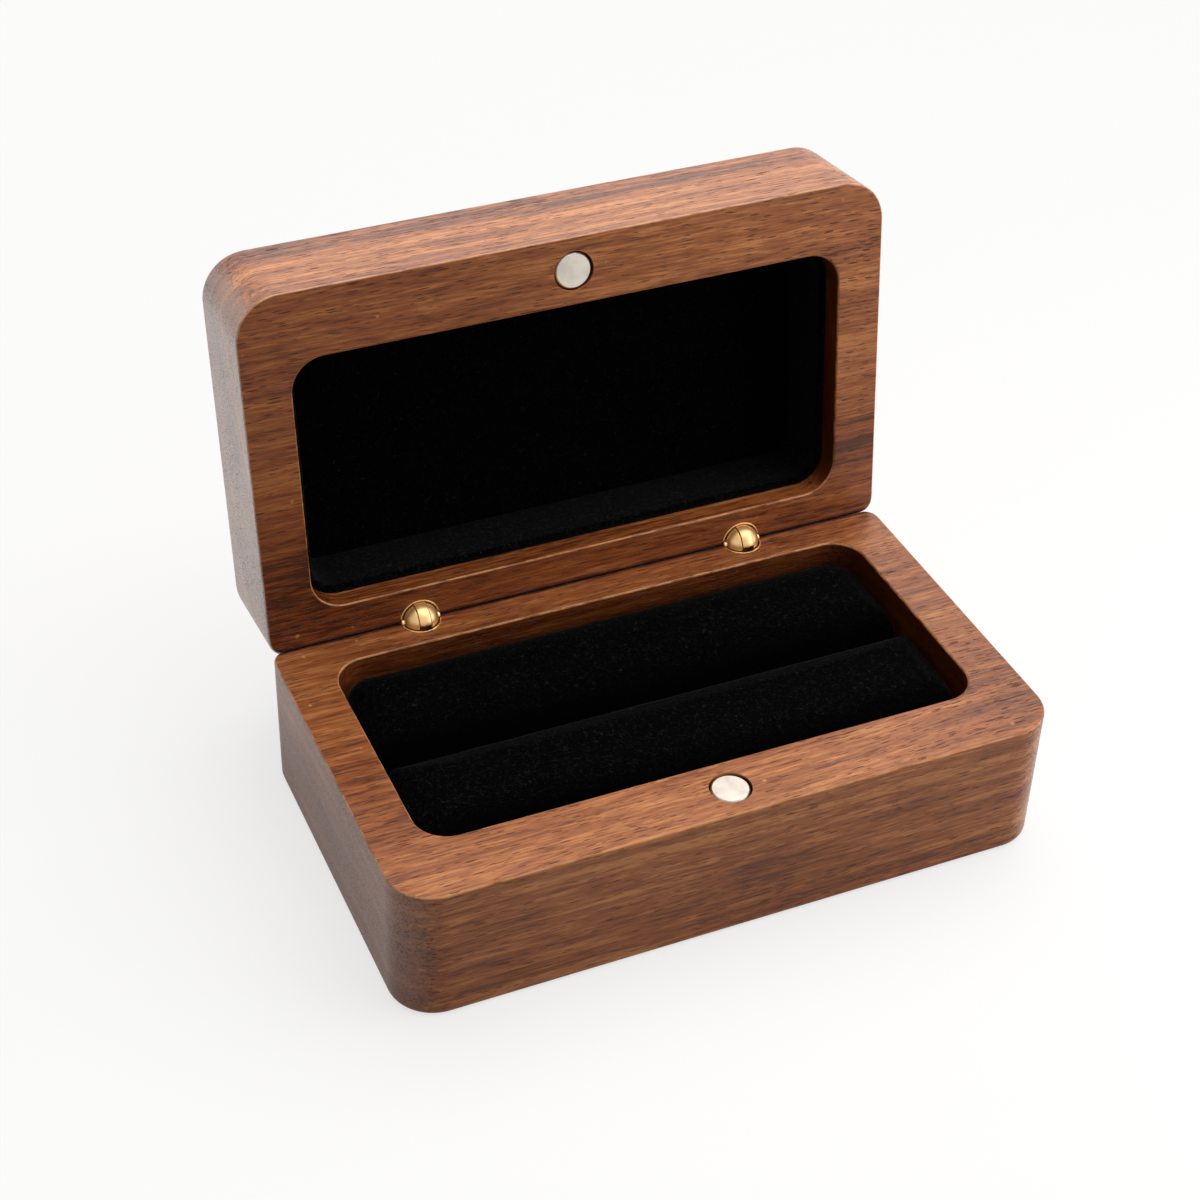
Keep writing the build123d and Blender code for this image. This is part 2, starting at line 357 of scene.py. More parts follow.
def node_group(name, inputs, outputs):
    """An empty shader node group with its sockets, and the wiring to fill it."""
    tree = bpy.data.node_groups.new(name, "ShaderNodeTree")
    kinds = {"colour": "NodeSocketColor", "value": "NodeSocketFloat", "place": "NodeSocketVector"}
    for label, kind, default in inputs:
        socket = tree.interface.new_socket(label, in_out="INPUT", socket_type=kinds[kind])
        if default is not None:
            socket.default_value = (*default, 1.0) if kind == "colour" else default
    for label, kind in outputs:
        tree.interface.new_socket(label, in_out="OUTPUT", socket_type=kinds[kind])
    given = tree.nodes.new("NodeGroupInput")
    result = tree.nodes.new("NodeGroupOutput")
    return tree, Wiring(tree), given.outputs, result.inputs


def walnut_grain(settings):
    """Growth rings, fibre lines and open pores of walnut that runs along X."""
    tree, w, given, result = node_group(
        "Walnut grain",
        [
            ("Place", "place", None),
            ("Light", "colour", settings.light),
            ("Middle", "colour", settings.middle),
            ("Dark", "colour", settings.dark),
            ("Pore", "colour", settings.pore),
            ("Ring Spacing", "value", settings.ring_spacing),
            ("Ring Wave", "value", settings.ring_wave),
            ("Pore Length", "value", settings.pore_length),
            ("Pore Width", "value", settings.pore_width),
            ("Roughness", "value", settings.roughness),
            ("End Grain", "value", 0.0),
            ("End Shade", "colour", settings.end_shade),
        ],
        [("Colour", "colour"), ("Roughness", "value"), ("Height", "value")],
    )
    place = given["Place"]
    # Rings lie nearly flat, round a heart well below the board
    wander = w.wobble(place, (9, 32, 32), 2.0, w.times(given["Ring Wave"], 2.0))
    ripple = w.wobble(place, (60, 170, 170), 1.0, w.times(given["Ring Wave"], 0.16))
    grown = w.vector("ADD", place, w.vector("ADD", wander, ripple))
    from_heart = w.vector("ADD", w.stretch(grown, (0.05, 0.55, 1.0)), (0, 0.012, 0.065))
    ring = w.math("DIVIDE", w.vector("LENGTH", from_heart), given["Ring Spacing"])
    along = w.put("CombineXYZ", {"X": w.times(ring, 1.6), "Y": 0.3, "Z": 0.7}).outputs[0]
    bands = w.noise(along, 1.0, 2.5, 0.6)
    late = w.math("FRACT", w.math("ADD", ring, w.times(bands, 0.8)))
    line = w.times(w.between(late, 0.70, 0.97), w.between(late, 1.0, 0.97))
    # Broad clouds and fine fibre
    cloud = w.noise(w.stretch(grown, (22, 70, 110)), 1.0, 3.0, 0.55)
    fibre = w.noise(w.stretch(grown, (230, 2900, 2900)), 1.0, 2.0, 0.55)
    streak = w.noise(w.stretch(grown, (55, 760, 760)), 1.0, 2.0, 0.55)
    tone = w.math("MULTIPLY_ADD", w.math("SUBTRACT", bands, 0.5), 1.15, 0.52)
    tone = w.math("MULTIPLY_ADD", w.math("SUBTRACT", cloud, 0.5), 0.75, tone)
    calm = w.math("MULTIPLY_ADD", given["End Grain"], -0.65, 1.0)
    for detail, contrast in ((streak, 0.95), (fibre, 1.25)):
        amount = w.times(calm, contrast)
        tone = w.math("MULTIPLY_ADD", w.math("SUBTRACT", detail, 0.5), amount, tone)
    tone = w.math("MULTIPLY_ADD", line, -0.16, tone)
    darker = w.mix(w.between(tone, 0.12, 0.50), given["Dark"], given["Middle"])
    wood = w.mix(w.between(tone, 0.46, 0.92), darker, given["Light"])
    wood = w.mix(given["End Grain"], wood, w.mix(1.0, wood, given["End Shade"], "MULTIPLY"))
    # Pores: short dark dashes along X, dots on the end grain
    across = w.math("DIVIDE", 1.0, given["Pore Width"])
    lengthwise = w.math("DIVIDE", 1.0, given["Pore Length"])
    spread = w.put("CombineXYZ", {"X": lengthwise, "Y": across, "Z": across}).outputs[0]
    spots = w.stretch(grown, spread)
    crowd = w.math("ADD", cloud, w.times(line, 0.10))
    crowd = w.between(crowd, 0.32, 0.64, 1.06, 0.72)
    near, chance = w.cells(spots)
    size = w.times(w.math("MULTIPLY_ADD", chance, 0.24, 0.10), crowd)
    pores = w.between(w.math("SUBTRACT", size, near), -0.035, 0.035)
    finer = w.vector("ADD", w.stretch(spots, (1.7, 1.6, 1.6)), (7.3, 2.1, 5.6))
    near, chance = w.cells(finer)
    size = w.times(w.math("MULTIPLY_ADD", chance, 0.22, 0.05), crowd)
    hairs = w.times(w.between(w.math("SUBTRACT", size, near), -0.07, 0.05), 0.55)
    thin = w.vector("ADD", w.stretch(grown, (330, 4300, 4300)), (3.7, 9.2, 4.4))
    thin = w.noise(thin, 1.0, 1.0, 0.5)
    hairs = w.math("MAXIMUM", hairs, w.between(thin, 0.60, 0.74, 0.0, 0.55))
    open_pores = w.math("MAXIMUM", pores, hairs)
    w.feed(result["Colour"], w.mix(w.times(open_pores, 0.82), wood, given["Pore"]))
    rough = w.math("MULTIPLY_ADD", w.math("SUBTRACT", fibre, 0.5), 0.18, given["Roughness"])
    w.feed(result["Roughness"], w.math("MULTIPLY_ADD", open_pores, 0.3, rough, clamp=True))
    height = w.math("MULTIPLY_ADD", w.math("SUBTRACT", fibre, 0.5), 0.35, 0.6)
    w.feed(result["Height"], w.math("MULTIPLY_ADD", open_pores, -0.8, height))
    return tree


def edge_wear_and_highlight():
    """Where a block's mating edges are rubbed bare, with small chips, and the painted highlight
    along those edges.
    """
    tree, w, given, result = node_group(
        "Edge wear and highlight",
        [
            ("Place", "place", None),
            ("Facing", "place", None),
            ("Rim Width", "value", 0.0),
        ],
        [("Rubbed And Highlit", "value"), ("Chipped", "value")],
    )
    depth = w.put("SeparateXYZ", {"Vector": given["Place"]}).outputs["Z"]
    out = w.put("SeparateXYZ", {"Vector": given["Facing"]}).outputs["Z"]
    depth = w.math("ABSOLUTE", depth)
    near = w.between(depth, given["Rim Width"], w.times(given["Rim Width"], 0.6))
    turned = w.between(w.math("ABSOLUTE", out), 0.985, 0.80)
    patchy = w.noise(w.stretch(given["Place"], (260, 260, 260)), 1.0, 3.0, 0.6)
    rim = w.times(near, turned)
    w.feed(result["Rubbed And Highlit"], w.times(rim, w.between(patchy, 0.38, 0.60, 0.12, 1.0)))
    close = w.between(depth, 0.0009, 0.0003)
    distance, chance = w.cells(given["Place"], 900.0)
    chips = w.times(w.between(distance, 0.32, 0.22), w.between(chance, 0.985, 0.995))
    chips = w.times(chips, w.between(patchy, 0.5, 0.6))
    w.feed(result["Chipped"], w.times(chips, close))
    return tree


def velvet_pile(settings):
    """Tufts of a black pile, with curled stray fibres on it."""
    tree, w, given, result = node_group(
        "Velvet pile",
        [
            ("Place", "place", None),
            ("Black", "colour", settings.black),
            ("Lint", "colour", settings.lint),
            ("Lint Size", "value", settings.lint_size),
            ("Lint Amount", "value", 1.0),
        ],
        [("Colour", "colour"), ("Height", "value")],
    )
    spread = w.math("DIVIDE", 1.0, given["Lint Size"])
    place = w.scaled(given["Place"], spread)
    # Three layers of curls, each finer and fainter than the last
    lint = 0.0
    for offset, fineness, strength in (
        ((0, 0, 0), 1.0, 1.0),
        ((11.7, 3.1, 8.9), 1.2, 0.75),
        ((5.1, 17.3, 2.2), 1.4, 0.5),
    ):
        spot = w.vector("ADD", place, offset)
        curl = w.noise(spot, fineness, 0.0, 0.5, 0.9)
        thread = w.between(w.math("ABSOLUTE", w.math("SUBTRACT", curl, 0.5)), 0.015, 0.005)
        pieces = w.between(w.noise(spot, fineness * 1.05, 0.0), 0.55, 0.61)
        layer = w.times(w.times(thread, pieces), strength)
        lint = w.math("MAXIMUM", lint, layer)
    fluff = w.noise(place, 7.0, 2.0, 0.6)
    clouds = w.noise(place, 0.14, 2.0, 0.5)
    paler = w.mix(1.0, given["Black"], (1.7, 1.7, 1.7), "MULTIPLY")
    pile = w.mix(w.between(clouds, 0.3, 0.7), given["Black"], paler)
    tips = w.mix(0.22, given["Black"], given["Lint"])
    pile = w.mix(w.between(fluff, 0.42, 0.80), pile, tips)
    strength = w.math("MULTIPLY", lint, given["Lint Amount"], clamp=True)
    w.feed(result["Colour"], w.mix(strength, pile, given["Lint"]))
    w.feed(result["Height"], w.math("MULTIPLY_ADD", lint, 0.5, fluff))
    return tree


def wear():
    """Handling marks on metal: faint scratches and dull patches."""
    tree, w, given, result = node_group(
        "Handling marks",
        [("Place", "place", None), ("Scratch Size", "value", 0.0016)],
        [("Scratches", "value"), ("Dullness", "value")],
    )
    place = w.scaled(given["Place"], w.math("DIVIDE", 1.0, given["Scratch Size"]))
    lines = w.noise(w.stretch(place, (0.5, 7.0, 7.0)), 1.0, 3.0, 0.7)
    w.feed(result["Scratches"], w.between(lines, 0.55, 0.75))
    w.feed(result["Dullness"], w.noise(place, 0.45, 3.0, 0.6))
    return tree


def material(name):
    """A new material, the wiring of its tree, and its Principled shader."""
    made = bpy.data.materials.new(name)
    made.use_nodes = True
    shader = made.node_tree.nodes["Principled BSDF"]
    return made, Wiring(made.node_tree), shader


def use_group(wiring, tree, inputs):
    """A node group placed in a material with its own values."""
    node = wiring.put("Group", node_tree=tree)
    for key, value in inputs.items():
        wiring.feed(node.inputs[key], value)
    return node.outputs


def bump(wiring, shader, height, distance, strength=1.0):
    """Relief from a height that changes over the surface."""
    node = wiring.put("Bump", {"Height": height, "Distance": distance, "Strength": strength})
    wiring.feed(shader.inputs["Normal"], node.outputs["Normal"])


def walnut(
    name, settings, grain, edges, turn, heart, across, reach, along, walls, paler, polish, varnish
):
    """Oiled walnut in a block's own axes: X along the grain, Z out of its mating face.

    turn is how far the block stands open, and heart the board's place in the grain. across is
    how light the board is at its front and at its hinge, a painted shade towards the hinge, and
    reach where that change starts and ends. along is how light its mating face is at its left
    and right, painted light and shade, and walls how light the recess's end walls and long walls
    are: below 1 painted shade, above 1 painted light. paler brightens the whole board, a paler
    board that for the lid also paints light. polish is how much varnish its ends and its front
    and back have, and varnish the varnish's IOR.
    """
    made, w, shader = material(name)
    at = w.put("TexCoord").outputs
    spin = (turn, 0.0, 0.0)
    moved = w.vector("SUBTRACT", at["Object"], tuple(hinge_line))
    place, facing = (
        w.put("VectorRotate", {"Vector": v, "Rotation": spin}, rotation_type="EULER_XYZ").outputs[0]
        for v in (moved, at["Normal"])
    )
    board = w.vector("ADD", place, heart)
    shades = {"Light": settings.light, "Middle": settings.middle}
    shades = {key: tuple(min(1.0, c * paler) for c in value) for key, value in shades.items()}
    turned = w.put("SeparateXYZ", {"Vector": facing}).outputs
    end_on = w.between(w.math("ABSOLUTE", turned["X"]), 0.45, 0.95)
    wood = use_group(w, grain, {"Place": board, "End Grain": end_on, **shades})
    spot = w.put("SeparateXYZ", {"Vector": place}).outputs
    worn = {"Place": place, "Facing": facing, "Rim Width": settings.rim_width}
    rim = use_group(w, edges, worn)
    # Painted shade across the board: darker towards the hinge, with a wavering edge.
    drift = w.noise(w.stretch(place, (30, 110, 110)), 1.0, 2.0, 0.5)
    drift = w.math("MULTIPLY_ADD", drift, 0.024, -0.012)
    tone = w.between(w.math("ADD", spot["Y"], drift), *reach, *across)
    depth = w.math("ABSOLUTE", spot["Z"])
    # Painted light and shade across a mating face: darker at its left, lighter at its right.
    at_mating = w.between(depth, settings.face_depth, settings.face_depth * 0.2)
    sideways = w.between(w.math("ADD", spot["X"], drift), -0.04, 0.04, *along)
    sideways = w.math("MULTIPLY_ADD", w.math("SUBTRACT", sideways, 1.0), at_mating, 1.0)
    tone = w.times(tone, sideways)
    # Wood in painted shade: its colour multiplied by the painted-shade colour.
    shaded_wood = w.mix(1.0, wood["Colour"], settings.painted_shade, "MULTIPLY")
    outwards = w.times(turned["X"], w.math("SIGN", spot["X"]))
    past_middle = w.math("SIGN", w.math("SUBTRACT", spot["Y"], settings.recess_middle))
    forwards = w.times(turned["Y"], past_middle)
    # Painted shade on the recess's end walls; on its long walls painted shade in the base and
    # painted light in the lid.
    tone = w.times(tone, w.between(outwards, -0.9, -0.3, walls[0], 1.0))
    tone = w.times(tone, w.between(forwards, -0.9, -0.3, walls[1], 1.0))
    end_grain = w.between(outwards, 0.15, 0.80)
    # Where the painted tone is low the wood takes its painted shade; the outer end grain keeps its
    # own colour.
    tint = w.mix(w.math("MAXIMUM", tone, end_grain), shaded_wood, wood["Colour"])
    # Paler line along the mating edges: rubbed wear and a painted edge highlight.
    tint = w.mix(w.times(rim["Rubbed And Highlit"], 0.75), tint, settings.edge)
    tint = w.mix(w.times(rim["Chipped"], 0.8), tint, settings.edge)
    # Painted shadow in the seam along the hinge, in the pore colour.
    to_seam = w.vector("LENGTH", w.stretch(place, (0.0, 1.0, 1.0)))
    uneven = w.noise(place, 240.0, 2.0, 0.5)
    seam_shadow = w.math("ADD", to_seam, w.times(uneven, settings.seam_width))
    seam_shadow = w.between(seam_shadow, settings.seam_width * 1.8, settings.seam_width * 0.8)
    tint = w.mix(seam_shadow, tint, settings.pore)
    w.feed(shader.inputs["Base Color"], tint)
    w.feed(shader.inputs["Roughness"], wood["Roughness"])
    shader.inputs["Specular IOR Level"].default_value = settings.gloss
    unfilled = w.between(wood["Height"], 0.10, 0.45)
    ends = w.times(end_grain, polish[0])
    fronts = w.times(w.between(forwards, 0.15, 0.80), polish[1])
    coat = w.times(w.math("MAXIMUM", ends, fronts), unfilled)
    w.feed(shader.inputs["Coat Weight"], coat)
    shader.inputs["Coat Roughness"].default_value = settings.varnish_roughness
    shader.inputs["Coat IOR"].default_value = varnish
    bump(w, shader, wood["Height"], settings.pore_depth)
    return made


def velvet(name, settings, pile, lint_amount, sheen, spread, painted_front_shade=1.0):
    """Black velvet. spread is how far its sheen reaches in from its outline.

    The front shade is how light the velvet stays where it faces the front: painted shade on its
    faces that turn to the front.
    """
    made, w, shader = material(name)
    at = w.put("TexCoord").outputs
    forwards = w.put("SeparateXYZ", {"Vector": at["Normal"]}).outputs["Y"]
    # Painted shade: the velvet's colour and lint are darker where it faces the front.
    lie = w.between(forwards, -0.70, -0.10, painted_front_shade, 1.0)
    amount = w.times(lie, lint_amount)
    cloth = use_group(w, pile, {"Place": at["Object"], "Lint Amount": amount})
    shade = w.put("CombineColor", {0: lie, 1: lie, 2: lie}).outputs[0]
    w.feed(shader.inputs["Base Color"], w.mix(1.0, cloth["Colour"], shade, "MULTIPLY"))
    shader.inputs["Roughness"].default_value = 0.95
    shader.inputs["Specular IOR Level"].default_value = 0.012
    shader.inputs["Sheen Weight"].default_value = sheen
    shader.inputs["Sheen Roughness"].default_value = spread
    shader.inputs["Sheen Tint"].default_value = (*settings.sheen, 1.0)
    bump(w, shader, cloth["Height"], settings.pile, 0.8)
    return made


def brass(settings, marks):
    """Polished brass with light handling marks."""
    made, w, shader = material("Brass")
    worn = use_group(w, marks, {"Place": w.put("TexCoord").outputs["Object"]})
    dull = w.between(worn["Dullness"], 0.45, 0.75)
    tint = w.mix(w.times(dull, 0.5), settings.brass, settings.tarnish)
    w.feed(shader.inputs["Base Color"], tint)
    rough = w.math("MULTIPLY_ADD", worn["Scratches"], 0.12, settings.brass_roughness)
    w.feed(shader.inputs["Roughness"], w.math("MULTIPLY_ADD", dull, 0.08, rough))
    shader.inputs["Metallic"].default_value = 1.0
    rounded = w.put("Bevel", {"Radius": settings.brass_edge}, samples=8)
    w.feed(shader.inputs["Normal"], rounded.outputs["Normal"])
    return made


def nickel(name, settings, marks, painted_brightness):
    """Nickel plating, finely brushed."""
    made, w, shader = material(name)
    place = w.put("TexCoord").outputs["Object"]
    worn = use_group(w, marks, {"Place": place, "Scratch Size": settings.nickel_scratch})
    plate = tuple(min(1.0, c * painted_brightness) for c in settings.nickel)
    dusky = tuple(c * 0.62 for c in plate)
    dull = w.between(worn["Dullness"], 0.40, 0.75)
    w.feed(shader.inputs["Base Color"], w.mix(w.times(dull, 0.55), plate, dusky))
    rough = w.math("MULTIPLY_ADD", worn["Scratches"], 0.14, settings.nickel_roughness)
    w.feed(shader.inputs["Roughness"], rough)
    shader.inputs["Metallic"].default_value = 1.0
    bump(w, shader, worn["Scratches"], 0.00001)
    return made


def card(settings):
    """Dark grey pressed card."""
    made, w, shader = material("Card")
    place = w.put("TexCoord").outputs["Object"]
    fibre = w.noise(place, 3200.0, 3.0, 0.7)
    speck = w.noise(place, 900.0, 2.0, 0.5)
    pale = tuple(c * 2.2 for c in settings.card)
    tint = w.mix(fibre, settings.card, pale)
    dark = tuple(c * 0.5 for c in settings.card)
    w.feed(shader.inputs["Base Color"], w.mix(w.between(speck, 0.66, 0.72), tint, dark))
    shader.inputs["Roughness"].default_value = 0.9
    bump(w, shader, fibre, 0.00004)
    return made


def dress(names, finish):
    """Gives CAD nodes a material in place of their plain one."""
    for name in names:
        slots = nodes[name].material_slots
        if not slots:
            raise RuntimeError(f"{name} has no material slot")
        for slot in slots:
            slot.material = finish


def mesh_object(name, mesh):
    """A mesh as an object in the scene."""
    made = bpy.data.objects.new(name, mesh)
    bpy.context.scene.collection.objects.link(made)
    return made


def loft(name, outlines, round_trip=False):
    """A closed mesh through outlines that have equal numbers of points.

    Its two ends are faces, or with round_trip the last outline joins the first.
    """
    shell = bmesh.new()
    rows = [[shell.verts.new(point) for point in outline] for outline in outlines]
    following = rows[1:] + rows[:1] if round_trip else rows[1:]
    for low, high in zip(rows, following):
        for i in range(len(low)):
            j = (i + 1) % len(low)
            shell.faces.new((low[i], low[j], high[j], high[i]))
    if not round_trip:
        shell.faces.new(reversed(rows[0]))
        shell.faces.new(rows[-1])
    bmesh.ops.recalc_face_normals(shell, faces=shell.faces)
    mesh = bpy.data.meshes.new(name)
    shell.to_mesh(mesh)
    shell.free()
    return mesh


def applied(piece):
    """The piece's mesh with its modifiers applied."""
    ready = bpy.context.evaluated_depsgraph_get()
    mesh = bpy.data.meshes.new_from_object(piece.evaluated_get(ready))
    piece.modifiers.clear()
    piece.data = mesh
    return mesh


def rounded_outline(low, high, front_radius, rear_radius, z, steps=10):
    """Points round a rectangle whose front and rear corners have their own radii."""
    corners = [
        (high.x - front_radius, low.y + front_radius, front_radius, -90),
        (high.x - rear_radius, high.y - rear_radius, rear_radius, 0),
        (low.x + rear_radius, high.y - rear_radius, rear_radius, 90),
        (low.x + front_radius, low.y + front_radius, front_radius, 180),
    ]
    points = []
    for x, y, radius, start in corners:
        for i in range(steps + 1):
            angle = math.radians(start + 90 * i / steps)
            points.append(Vector((x + radius * math.cos(angle), y + radius * math.sin(angle), z)))
    return points


def drawn_in(depth, drop, reach):
    """How far a side is drawn in at a depth below the top, as a quarter ellipse."""
    if depth >= drop:
        return 0.0
    return reach * (1 - math.sqrt(1 - (1 - depth / drop) ** 2))


def pad_outlines(node, settings, steps=16):
    """Outlines of a ring pad from its foot up, a little inside its CAD solid."""
    low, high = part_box(node)
    slack = settings.slack
    corners = [settings.outer_corner, settings.slot_corner]
    if node.startswith("rear"):
        corners.reverse()
    fall = settings.slope_drop
    depths = [fall * (1 - math.sin(math.radians(90 * i / steps))) for i in range(steps + 1)]
    foot_gap = 0.00005
    foot = low.z + foot_gap
    levels = [(foot, fall, settings.tuck), ((foot + high.z - fall) / 2, fall, 0.0)]
    levels += [(high.z - slack - depth, depth, 0.0) for depth in depths]
    outlines = []
    for z, depth, tuck in levels:
        edge = slack + tuck
        crown = drawn_in(depth, settings.crown_drop, settings.crown_reach)
        slope = drawn_in(depth, settings.slope_drop, settings.slope_reach)
        radii = [max(corner - crown, settings.least_corner) for corner in corners]
        inner_low = Vector((low.x + edge + crown, low.y + edge + slope, z))
        inner_high = Vector((high.x - edge - crown, high.y - edge - crown, z))
        outlines.append(rounded_outline(inner_low, inner_high, *radii, z))
    return outlines


def swell(piece, settings, scale=20.0):
    """Blows the pad up with cloth simulation, at a larger scale where cloth behaves well."""
    piece.data.transform(Matrix.Scale(scale, 4))
    remesh = piece.modifiers.new("Even mesh", "REMESH")
    remesh.mode = "VOXEL"
    remesh.voxel_size = settings.mesh_size * scale
    applied(piece)
    start = [vertex.co.copy() for vertex in piece.data.vertices]
    glued = min(place.z for place in start) + settings.glued * scale
    held = piece.vertex_groups.new(name="Foot")
    held.add([i for i, place in enumerate(start) if place.z < glued], 1.0, "REPLACE")
    cloth = piece.modifiers.new("Velvet over foam", "CLOTH")
    cloth.settings.quality = 6
    cloth.settings.mass = 0.25
    cloth.settings.tension_stiffness = 12.0
    cloth.settings.compression_stiffness = 12.0
    cloth.settings.bending_stiffness = 0.8
    cloth.settings.vertex_group_mass = "Foot"
    cloth.settings.use_pressure = True
    cloth.settings.uniform_pressure_force = settings.pressure
    cloth.settings.effector_weights.gravity = 0.0
    for number in range(1, 19):
        bpy.context.scene.frame_set(number)
    applied(piece)
    bpy.context.scene.frame_set(1)
    limit = settings.swell * scale
    for vertex, was in zip(piece.data.vertices, start):
        pushed = vertex.co - was
        if pushed.length > limit:
            pushed = pushed.normalized() * limit
        vertex.co = was + pushed
    piece.vertex_groups.clear()
    piece.data.transform(Matrix.Scale(1 / scale, 4))


def unevenness(piece, amount, size, seed):
    """Moves points along their normals by smooth noise."""
    normals = [vertex.normal.copy() for vertex in piece.data.vertices]
    for vertex, normal in zip(piece.data.vertices, normals):
        spot = vertex.co / size + Vector((seed, seed * 0.37, seed * 0.71))
        vertex.co = vertex.co + normal * noise.noise(spot) * amount


def kept_inside(piece, low, high):
    """Keeps a piece's points inside a box."""
    for vertex in piece.data.vertices:
        for axis in range(3):
            vertex.co[axis] = min(max(vertex.co[axis], low[axis]), high[axis])


def smoothed(piece, rounds, level):
    """Relaxes a piece and divides its faces, with smooth shading."""
    relax = piece.modifiers.new("Relax", "SMOOTH")
    relax.factor = 0.5
    relax.iterations = rounds
    divide = piece.modifiers.new("Divide", "SUBSURF")
    divide.levels = level
    divide.render_levels = level
    applied(piece).shade_smooth()


class RINGBOX_OT_walnut_blocks(Operator):
    """Dress the base and the lid in oiled walnut"""

    bl_idname = "ring_box.walnut_blocks"
    bl_label = "Walnut blocks"

    def execute(self, context):
        settings = context.scene.ring_box.walnut
        grain = walnut_grain(settings)
        edges = edge_wear_and_highlight()
        base = walnut(
            "Walnut base",
            settings,
            grain,
            edges,
            turn=0.0,
            heart=(0.148, 0.019, 0.024),
            # Painted shade: darker towards the hinge and on the recess walls.
            across=(1.0, 0.71),
            reach=(-0.046, -0.022),
            along=(0.97, 1.0),
            walls=(0.0, 0.15),
            paler=1.0,
            polish=(settings.base_polish, 0.0),
            varnish=1.5,
        )
        lid = walnut(
            "Walnut lid",
            settings,
            grain,
            edges,
            turn=open_angle,
            heart=(0.278, 0.106, 0.021),
            # Painted shade towards the hinge and at the mating face's left, painted light on the
            # recess's long walls.
            across=(1.0, 0.50),
            reach=(-0.048, -0.002),
            along=(0.48, 0.86),
            walls=(0.0, 1.5),
            paler=settings.lid_paler_and_lit,
            polish=(settings.lid_polish, settings.lid_front_polish),
            varnish=1.85,
        )
        dress(["base_block"], base)
        dress(["lid_block"], lid)
        return {"FINISHED"}


class RINGBOX_OT_ring_pads(Operator):
    """Make the two velvet ring pads and swell them over their foam"""

    bl_idname = "ring_box.ring_pads"
    bl_label = "Ring pads"

    def execute(self, context):
        settings = context.scene.ring_box
        pile = bpy.data.node_groups.get("Velvet pile") or velvet_pile(settings.velvet)
        finish = velvet(
            "Velvet pads",
            settings.velvet,
            pile,
            lint_amount=0.62,
            sheen=0.050,
            spread=0.28,
            painted_front_shade=0.22,
        )
        for seed, row in ((3.1, "front"), (8.6, "rear")):
            cover = row + "_pad_cover"
            name = row + "_ring_pad"
            pad = mesh_object(name, loft(name, pad_outlines(cover, settings.pads)))
            swell(pad, settings.pads)
            smoothed(pad, rounds=4, level=1)
            unevenness(pad, settings.pads.ripple, settings.pads.ripple_size, seed)
            kept_inside(pad, *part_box(cover))
            pad.data.materials.append(finish)
            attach(pad, "base")
            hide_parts(cover, row + "_pad_core")
        return {"FINISHED"}


def lid_axes():
    """The lid's own axes at rest as a matrix: X along the hinge, Y to the rear, Z in."""
    into = Vector((0, math.sin(open_angle), math.cos(open_angle)))
    rear = into.cross(Vector((1, 0, 0)))
    turned = Matrix((Vector((1, 0, 0)), rear, into)).transposed().to_4x4()
    return Matrix.Translation(hinge_line) @ turned


def lid_box(node):
    """Lowest and highest corners of a lid node in the lid's own axes."""
    back = lid_axes().inverted()
    points = [back @ v.co for v in nodes[node].data.vertices]
    low = Vector([min(p[i] for p in points) for i in range(3)])
    high = Vector([max(p[i] for p in points) for i in range(3)])
    return low, high


def inset_outline(low, high, inset, radius, z, spacing):
    """Evenly spaced points round the liner, drawn in from its box by inset."""
    least_corner, least_side = 0.0002, 0.004
    corner = max(radius - inset, least_corner)
    inner_low = Vector((low.x + inset, low.y + inset, z))
    inner_high = Vector((high.x - inset, high.y - inset, z))
    sparse = rounded_outline(inner_low, inner_high, corner, corner, z, 12)
    points = []
    for a, b in zip(sparse, sparse[1:] + sparse[:1]):
        run = (b - a).length
        parts = max(1, round(run / spacing)) if run > least_side else 1
        points += [a.lerp(b, i / parts) for i in range(parts)]
    return points


def velvet_band(settings):
    """Velvet strip round the lid's recess: folded over at its top, down to the floor."""
    low, high = lid_box("lid_wall_velvet")
    thick, full, fold = settings.thickness, settings.stand, settings.fold
    top, floor = low.z, high.z
    # How far in from the wood and how deep: a soft outer edge, the fold, the drop to the floor
    profile = [
        (0.0, top + thick * 0.6),
        (0.0, top + thick * 0.25),
        (0.0002, top + 0.00004),
        (0.00045, top),
    ]
    for i in range(7):
        angle = math.radians(90 * i / 6)
        profile.append((full - fold + fold * math.sin(angle), top + fold - fold * math.cos(angle)))
    drop = floor - top - fold
    runs = 14
    profile += [(full, top + fold + drop * i / runs) for i in range(1, runs + 1)]
    profile += [(full - thick, floor), (full - thick, top + thick)]
    corner, size = settings.band_corner, settings.face_size
    outlines = [inset_outline(low, high, inset, corner, z, size) for inset, z in profile]
    return loft("lid_velvet_band", outlines, round_trip=True)


def velvet_panel(settings):
    """Velvet panel on the lid's floor, its edges rolled over the card."""
    low, high = lid_box("lid_floor_velvet")
    crown = settings.crown
    foot = high.z
    levels = [(0.0, foot), (0.0, (foot + low.z + crown) / 2)]
    for i in range(8):
        angle = math.radians(90 * i / 7)
        levels.append((crown * 1.4 * (1 - math.cos(angle)), low.z + crown * (1 - math.sin(angle))))
    corner, size = settings.panel_corner, settings.face_size
    outlines = [inset_outline(low, high, inset, corner, z, size) for inset, z in levels]
    return loft("lid_velvet_panel", outlines)


